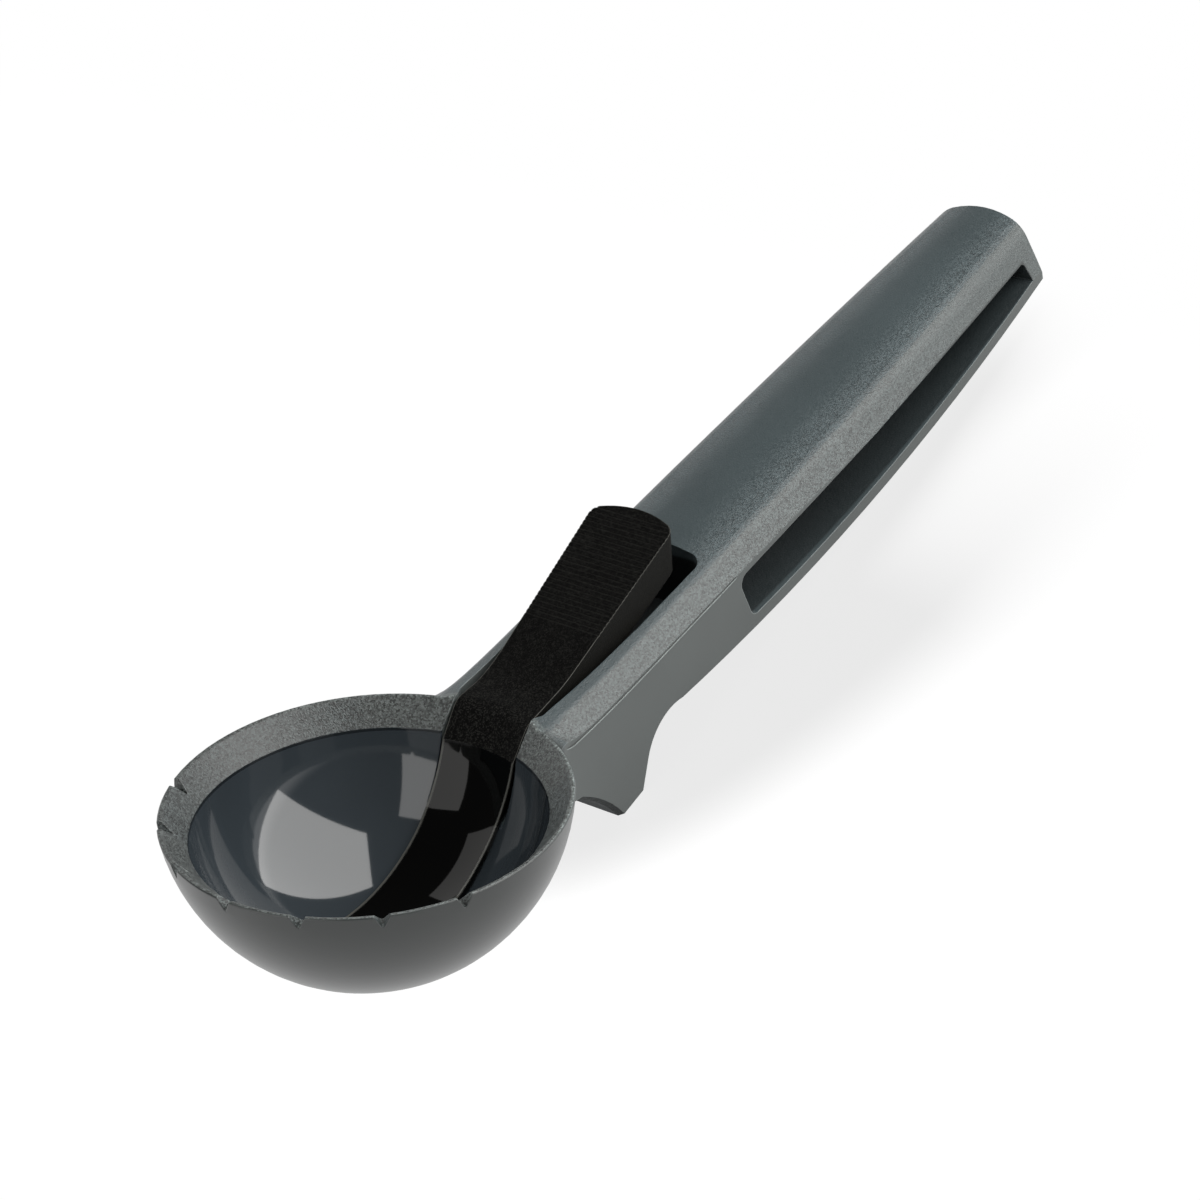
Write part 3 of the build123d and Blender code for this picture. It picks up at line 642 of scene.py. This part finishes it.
def body_plastic(finish):
    """Grey plastic: polished inside the bowl, grained on top and on the bevel, plain on the sides."""
    material, tree, shader = new_material("scoop_grey_plastic")
    place = bowl_frame(tree)
    masks = body_masks(tree, place)
    salt = speckle(tree, place, finish.grain_size)
    rounded, edge, _ = rounded_edges(tree, finish.edge_round)
    level = body_level(tree, place, masks, salt, edge, finish.grain_size)
    shaded = {0: body_tone(tree, masks, finish), "Scale": level}
    rough = blend(tree, masks.plain, linear(tree, salt, *BODY_ROUGHNESS), PLAIN_ROUGHNESS)
    rough = blend(tree, masks.outside, rough, OUTSIDE_ROUGHNESS)
    rough = blend(tree, masks.below, rough, BELOW_ROUGHNESS)
    strong = largest(tree, masks.coarse, masks.near_crease)
    strength = product(tree, masks.grained, blend(tree, strong, FAINT_GRAIN, 1.0))
    sockets = {
        "Base Color": node(tree, "ShaderNodeVectorMath", shaded, operation="SCALE").outputs["Vector"],
        "Roughness": blend(tree, masks.polished, rough, POLISH_ROUGHNESS),
        "Normal": grain_normal(tree, place, finish, strength, rounded),
        "Coat Weight": product(tree, masks.polished, BODY_COAT),
        "Coat Roughness": POLISH_ROUGHNESS,
        "Specular IOR Level": BODY_SPECULAR,
    }
    feed(tree, shader, sockets)
    return material


def lever_plastic(finish):
    """Black plastic: grained on the pad and the bend, polished on the arm inside the bowl."""
    material, tree, shader = new_material("lever_black_plastic")
    place = bowl_frame(tree)
    parts = axes(tree, place)
    polished = product(tree, fade(tree, parts["Z"], *ARM_TOP), fade(tree, parts["X"], *ARM_BACK))
    matt = rest_of(tree, polished)
    rounded, rib, edge = rounded_edges(tree, blend(tree, polished, finish.edge_round, finish.arm_round))
    salt = speckle(tree, place, finish.grain_size)
    top = fade(tree, sideways_share(tree), *LEVER_FACING)
    off_pad = step(tree, parts["X"], *PAD_START, *SPECK_SHARES)
    lighter = (
        (product(tree, step(tree, salt, *SPECK_SALT), off_pad, top, matt), SPECK_LEVEL),
        # Painted highlights on every edge, salted along the ribs' ridges
        (product(tree, rib, step(tree, salt, *RIB_SALT, *RIB_SHARES)), RIB_HIGHLIGHT_LEVEL),
        # Painted light: the lever's sides lighter than its top
        (product(tree, rest_of(tree, top), matt), SIDE_LIGHT_LEVEL),
        # Painted highlights on the lengthwise edges
        (edge, LENGTHWISE_HIGHLIGHT_LEVEL),
    )
    tone = opaque(finish.colour)
    for share, level in lighter:
        tone = colour_mix(tree, share, tone, opaque(finish.colour, level))
    rough = blend(tree, edge, linear(tree, salt, *LEVER_ROUGHNESS), LENGTHWISE_ROUGHNESS)
    strength = rest_of(tree, largest(tree, polished, edge))
    sockets = {
        "Base Color": tone,
        "Roughness": blend(tree, polished, rough, ARM_ROUGHNESS),
        "Normal": grain_normal(tree, place, finish, strength, rounded),
        "Coat Weight": product(tree, polished, ARM_COAT),
        "Coat Roughness": ARM_COAT_ROUGHNESS,
        "Specular IOR Level": LEVER_SPECULAR,
    }
    feed(tree, shader, sockets)
    return material


def seam_plastic(name, finish, level):
    """The parting line's plastic: the sides' grey at another level, darker for its painted shadow and lighter for its
    painted highlight, a little uneven along the line.
    """
    material, tree, shader = new_material(name)
    uneven = grain(tree, bowl_frame(tree), finish.grain_size * SEAM_GRAINS)
    dark, pale = (opaque(finish.side_colour, level * share) for share in SEAM_UNEVEN)
    feed(tree, shader, {"Base Color": colour_mix(tree, uneven, dark, pale), "Roughness": SEAM_ROUGHNESS})
    return material


def drawn_steel(name, colour, stretch):
    """Drawn steel: fine uneven lines, drawn out along an axis where stretch is small."""
    material, tree, shader = new_material(name)
    place = node(tree, "ShaderNodeMapping", {"Vector": bowl_frame(tree), "Scale": stretch}).outputs["Vector"]
    inputs = {"Vector": place, "Scale": STEEL_SCALE, "Detail": STEEL_DETAIL}
    lines = node(tree, "ShaderNodeTexNoise", inputs).outputs["Fac"]
    dark, pale = (opaque(colour, level) for level in STEEL_LEVELS)
    sockets = {
        "Base Color": colour_mix(tree, lines, dark, pale),
        "Roughness": linear(tree, lines, *STEEL_ROUGHNESS),
        "Metallic": 1.0,
    }
    feed(tree, shader, sockets)
    return material


def paint(name, material):
    """Gives a node's object its material."""
    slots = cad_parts[name].data.materials
    slots.clear()
    slots.append(material)


def from_bowl(points):
    """Points of the bowl's own frame, in millimetres, as points of the scoop, in metres: tipped back, then moved."""
    return points @ np.array(Matrix.Rotation(TIP_BACK, 3, "Y")).T * MILLIMETRE + np.array(RIM_CENTRE)


def seam_path(drop, steps=200):
    """The line under the flank, from the rim to the window, in metres.

    Across, it follows the handle's side, a curve through three half widths. In height it lies below the crest's
    edge by what the flank falls between the crest's half width and the side, and by the drop and a sink that runs
    out towards the window. Over the neck it rises by a parabola, and another one turns it up in a hook at the
    rim. The handle's pitch and start follow.
    """
    along = np.linspace(SEAM_START, SEAM_END, steps)
    share = np.clip(along, 0, None) / HANDLE_LENGTH
    side = SIDE_FRONT * (1 - share) ** 2 + 2 * SIDE_MIDDLE * share * (1 - share) + SIDE_END * share**2
    bow = along / HANDLE_LENGTH
    crest = CREST_FRONT + (CREST_END - CREST_FRONT) * bow + 4 * CREST_BULGE * bow * (1 - bow)
    flank = np.radians(FLANK_FRONT + (FLANK_END - FLANK_FRONT) * share)
    hook = HOOK_RISE * (np.clip(HOOK_START - along, 0, None) / HOOK_LENGTH) ** 2
    lift = hook + NECK_RISE * (np.clip(NECK_START - along, 0, None) / NECK_LENGTH) ** 2
    height = lift - (side - crest) * np.tan(flank) - drop - SEAM_SINK * (1 - share / share.max())
    handle = np.stack((along, side, height), axis=1)
    return from_bowl(handle @ np.array(Matrix.Rotation(-HANDLE_PITCH, 3, "Y")).T + np.array(HANDLE_START))


def spring_path(steps=300, leg_steps=12):
    """The middle of the spring's wire, in metres.

    The coil is a helix about the hinge: its angle falls evenly while it climbs across the scoop. Each leg leaves
    the coil along the circle's tangent.
    """
    share = np.linspace(0, 1, steps)
    angle = COIL_START - COIL_SWEEP * share
    climb = COIL_LENGTH * (share - 0.5)
    coil = np.stack((HINGE_X + COIL_RADIUS * np.cos(angle), climb, HINGE_Z + COIL_RADIUS * np.sin(angle)), axis=1)
    tangent = np.stack((np.sin(angle), 0 * angle, -np.cos(angle)), axis=1)
    leg = np.linspace(1, 0, leg_steps, endpoint=False)[:, None]
    floor_leg = coil[0] - tangent[0] * FLOOR_LEG * leg
    pad_leg = coil[-1] + tangent[-1] * PAD_LEG * leg[::-1]
    return from_bowl(np.concatenate((floor_leg, coil, pad_leg)))


def swept_bead(path, thick, sides=8):
    """A round bead swept along the path: rings of points square to it, joined in quads and closed at both ends."""
    tangent = np.gradient(path, axis=0)
    tangent /= np.linalg.norm(tangent, axis=1, keepdims=True)
    out = np.cross(tangent, (0.0, 1.0, 0.0))
    out /= np.linalg.norm(out, axis=1, keepdims=True)
    up = np.cross(tangent, out)
    turn = np.linspace(0, 2 * pi, sides, endpoint=False)
    ring = np.cos(turn)[None, :, None] * out[:, None] + np.sin(turn)[None, :, None] * up[:, None]
    points = (path[:, None] + thick[:, None, None] * ring).reshape(-1, 3)
    row, column = np.meshgrid(np.arange(len(path) - 1), np.arange(sides), indexing="ij")
    first = (row * sides + column).ravel()
    second = (row * sides + (column + 1) % sides).ravel()
    quads = np.stack((first, second, second + sides, first + sides), axis=1)
    last_ring = np.arange(len(points) - sides, len(points))
    return points, quads.tolist() + [np.arange(sides)[::-1].tolist(), last_ring.tolist()]


def add_mesh(context, name, points, faces, material):
    """Puts a smooth mesh into the scene as a piece of its own."""
    mesh = bpy.data.meshes.new(name)
    mesh.from_pydata(points.tolist(), [], faces)
    mesh.polygons.foreach_set("use_smooth", np.ones(len(faces), dtype=bool))
    mesh.materials.append(material)
    piece = bpy.data.objects.new(name, mesh)
    context.scene.collection.objects.link(piece)
    return piece


def add_seam(context, name, drop, radius, material):
    """Makes one bead along the parting line on both sides, thinner at its ends, which rides on the body."""
    path = seam_path(drop)
    thick = radius * np.sqrt(np.clip(1 - np.linspace(-1, 1, len(path)) ** SEAM_TAPER, SEAM_TIP, None))
    points, faces = swept_bead(path, thick)
    mirrored = [[index + len(points) for index in reversed(face)] for face in faces]
    both = np.concatenate((points, points * (1, -1, 1)))
    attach(add_mesh(context, name, both, faces + mirrored, material), "body")


def add_spring(context, material):
    """Makes the spring's wire, its lower leg on the well's floor and its upper leg on the pad, in place of the CAD
    spring, which it hides.
    """
    path = spring_path()
    points, faces = swept_bead(path, np.full(len(path), WIRE_RADIUS * MILLIMETRE))
    wire = add_mesh(context, "spring_wire", points, faces, material)
    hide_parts("return_spring")
    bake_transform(wire)


class SCOOP_OT_body(bpy.types.Operator):
    """Finish the moulded body: bowl, neck, handle and finger stop"""

    bl_idname = "scoop.body"
    bl_label = "Finish Body"

    def execute(self, context):
        finish = context.scene.scoop_body
        paint("scoop_body", body_plastic(finish))
        radius = finish.seam_radius
        # The dark bead is a painted shadow under the flank's edge; the pale ridge is lightened as a painted highlight
        dark = seam_plastic("parting_gap_plastic", finish, SHADOW_LINE_LEVEL)
        pale = seam_plastic("parting_line_plastic", finish, RIDGE_HIGHLIGHT_LEVEL)
        add_seam(context, "parting_gap", SHADOW_LINE_DROP, radius * SHADOW_LINE_WIDTH, dark)
        add_seam(context, "parting_line", RIDGE_DROP, radius * RIDGE_WIDTH, pale)
        return {"FINISHED"}


class SCOOP_OT_lever(bpy.types.Operator):
    """Finish the thumb lever with its arm"""

    bl_idname = "scoop.lever"
    bl_label = "Finish Lever"

    def execute(self, context):
        paint("thumb_lever", lever_plastic(context.scene.scoop_lever))
        return {"FINISHED"}


class SCOOP_OT_steel(bpy.types.Operator):
    """Finish the hinge pin and make the return spring's wire"""

    bl_idname = "scoop.steel"
    bl_label = "Finish Steel"

    def execute(self, context):
        colour = context.scene.scoop_steel.colour
        paint("hinge_pin", drawn_steel("pin_drawn_steel", colour, PIN_STRETCH))
        add_spring(context, drawn_steel("spring_drawn_steel", colour, WIRE_STRETCH))
        return {"FINISHED"}


def turned_axes(side, up):
    """The rotation whose X is side and whose Y is up, for a lamp or a camera that looks along its own -Z."""
    x = Vector(side).normalized()
    z = x.cross(Vector(up)).normalized()
    y = z.cross(x)
    return Matrix((x, y, z)).transposed().to_4x4()


def make_camera():
    """The camera: square to its azimuth and elevation, then rolled."""
    data = bpy.data.cameras.new("camera")
    data.sensor_width = SENSOR
    data.lens = CAMERA_LENS
    data.clip_start = CLIP_START
    data.clip_end = CLIP_END
    camera = bpy.data.objects.new("camera", data)
    right = Vector((cos(CAMERA_AZIMUTH), sin(CAMERA_AZIMUTH), 0.0))
    level = cos(CAMERA_ELEVATION)
    back = Vector((sin(CAMERA_AZIMUTH) * level, -cos(CAMERA_AZIMUTH) * level, sin(CAMERA_ELEVATION)))
    side = right * cos(CAMERA_ROLL) + back.cross(right) * sin(CAMERA_ROLL)
    camera.matrix_world = Matrix.Translation(CAMERA_PLACE) @ turned_axes(side, back.cross(side))
    return camera


def softbox(name, place, side, up, size, power):
    """A rectangular lamp that stays out of the picture."""
    data = bpy.data.lights.new(name, "AREA")
    data.shape = "RECTANGLE"
    data.size, data.size_y = size
    data.energy = power
    data.color = LAMP_COLOUR
    lamp = bpy.data.objects.new(name, data)
    lamp.matrix_world = Matrix.Translation(place) @ turned_axes(side, up)
    lamp.visible_camera = False
    return lamp


def shadow_sun():
    """A low soft lamp from the bowl's end, as strong as a white table needs, which draws the shadow on it."""
    data = bpy.data.lights.new("shadow_sun", "SUN")
    data.energy = pi / sin(SHADOW_ELEVATION)
    data.angle = SHADOW_SOFTNESS
    lamp = bpy.data.objects.new("shadow_sun", data)
    level = cos(SHADOW_ELEVATION)
    towards = Vector((cos(SHADOW_AZIMUTH) * level, sin(SHADOW_AZIMUTH) * level, sin(SHADOW_ELEVATION)))
    lamp.rotation_euler = towards.to_track_quat("Z", "Y").to_euler()
    return lamp


def light_only(lamp, receivers, state):
    """Links a lamp to the objects that it lights, or leaves them out of its light."""
    group = bpy.data.collections.new(lamp.name + "_lights")
    for receiver in receivers:
        group.objects.link(receiver)
    for link in group.collection_objects:
        link.light_linking.link_state = state
    lamp.light_linking.receiver_collection = group


def seen_share(tree):
    """1 where a surface is seen directly, in a reflection or through glass, and 0 where it only gives light."""
    path = node(tree, "ShaderNodeLightPath").outputs
    return largest(tree, path["Is Camera Ray"], path["Is Glossy Ray"], path["Is Transmission Ray"])


def table_white(shadow):
    """White table: where it is seen, its white is full but for the shadow, which fades out at the handle's end."""
    material, tree, shader = new_material("table_white")
    paper = node(tree, "ShaderNodeBsdfDiffuse", {"Color": opaque(WHITE, TABLE_GREY)})
    along = axes(tree, object_place(tree))["X"]
    share = step(tree, along, SHADOW_FADE, SHADOW_END, shadow, 0.0)
    glow = node(tree, "ShaderNodeEmission", {"Color": opaque(WHITE), "Strength": rest_of(tree, share)})
    shade_colour = colour_mix(tree, share, opaque(BLACK), opaque(WHITE))
    shade = node(tree, "ShaderNodeBsdfDiffuse", {"Color": shade_colour})
    both = node(tree, "ShaderNodeAddShader", {0: glow.outputs[0], 1: shade.outputs[0]})
    choice = {0: seen_share(tree), 1: paper.outputs[0], 2: both.outputs[0]}
    mixed = node(tree, "ShaderNodeMixShader", choice)
    feed(tree, tree.nodes["Material Output"], {"Surface": mixed.outputs[0]})
    tree.nodes.remove(shader)
    return material


def make_table(shadow):
    """A flat square table under the scoop."""
    corners = np.array([(-1, -1, 0), (1, -1, 0), (1, 1, 0), (-1, 1, 0)]) * TABLE_HALF
    mesh = bpy.data.meshes.new("table")
    mesh.from_pydata(corners.tolist(), [], [(0, 1, 2, 3)])
    mesh.materials.append(table_white(shadow))
    table = bpy.data.objects.new("table", mesh)
    return table


def make_world():
    """A dim room; towards the horizon it is as white as the table where it is seen."""
    world = bpy.data.worlds.new("studio")
    world.use_nodes = True
    tree = world.node_tree
    height = axes(tree, node(tree, "ShaderNodeTexCoord").outputs["Generated"])["Z"]
    white = product(tree, seen_share(tree), fade(tree, height, *HORIZON))
    strength = linear(tree, white, 1.0 - ROOM_LIGHT, ROOM_LIGHT)
    feed(tree, tree.nodes["Background"], {"Color": opaque(WHITE), "Strength": strength})
    return world


class SCOOP_OT_stage(bpy.types.Operator):
    """Set up the camera, the softboxes, and the white table with the lamp that draws its shadow"""

    bl_idname = "scoop.stage"
    bl_label = "Set Stage"

    def execute(self, context):
        scene = context.scene
        stage = scene.scoop_stage
        scene.view_settings.view_transform = "Standard"
        scene.world = make_world()
        table = make_table(stage.shadow_share)
        softboxes = [
            softbox(f"{name}_softbox", *build, getattr(stage, f"{name}_power")) for name, build in SOFTBOXES.items()
        ]
        sun = shadow_sun()
        camera = make_camera()
        for made in (table, *softboxes, sun, camera):
            scene.collection.objects.link(made)
        for lamp in softboxes:
            light_only(lamp, [table], "EXCLUDE")
        light_only(sun, [table], "INCLUDE")
        scene.camera = camera
        return {"FINISHED"}


class SCOOP_PT_panel(bpy.types.Panel):
    """Lists the scoop's finishes and its stage."""

    bl_idname = "SCOOP_PT_panel"
    bl_label = "Ice Cream Scoop"
    bl_space_type = "VIEW_3D"
    bl_region_type = "UI"
    bl_category = "Scoop"

    def draw(self, context):
        layout = self.layout
        for group in GROUPS:
            settings = getattr(context.scene, group)
            for name in settings.bl_rna.properties.keys():
                if name not in ("rna_type", "name"):
                    layout.prop(settings, name)
        for operator in OPERATORS:
            layout.operator(operator.bl_idname)


GROUPS = {
    "scoop_body": ScoopBodyFinish,
    "scoop_lever": ScoopLeverFinish,
    "scoop_steel": ScoopSteelFinish,
    "scoop_stage": ScoopStage,
}
OPERATORS = (SCOOP_OT_body, SCOOP_OT_lever, SCOOP_OT_steel, SCOOP_OT_stage)


def register():
    """Registers the classes and puts the settings on the scene."""
    for group in (*GROUPS.values(), *OPERATORS, SCOOP_PT_panel):
        bpy.utils.register_class(group)
    for name, group in GROUPS.items():
        setattr(bpy.types.Scene, name, bpy.props.PointerProperty(type=group))


def unregister():
    """Takes the settings and the classes away again."""
    for name in GROUPS:
        delattr(bpy.types.Scene, name)
    for group in reversed((*GROUPS.values(), *OPERATORS, SCOOP_PT_panel)):
        bpy.utils.unregister_class(group)


def main():
    """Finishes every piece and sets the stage."""
    register()
    bpy.ops.scoop.body()
    bpy.ops.scoop.lever()
    bpy.ops.scoop.steel()
    bpy.ops.scoop.stage()


if __name__ == "__main__":
    main()
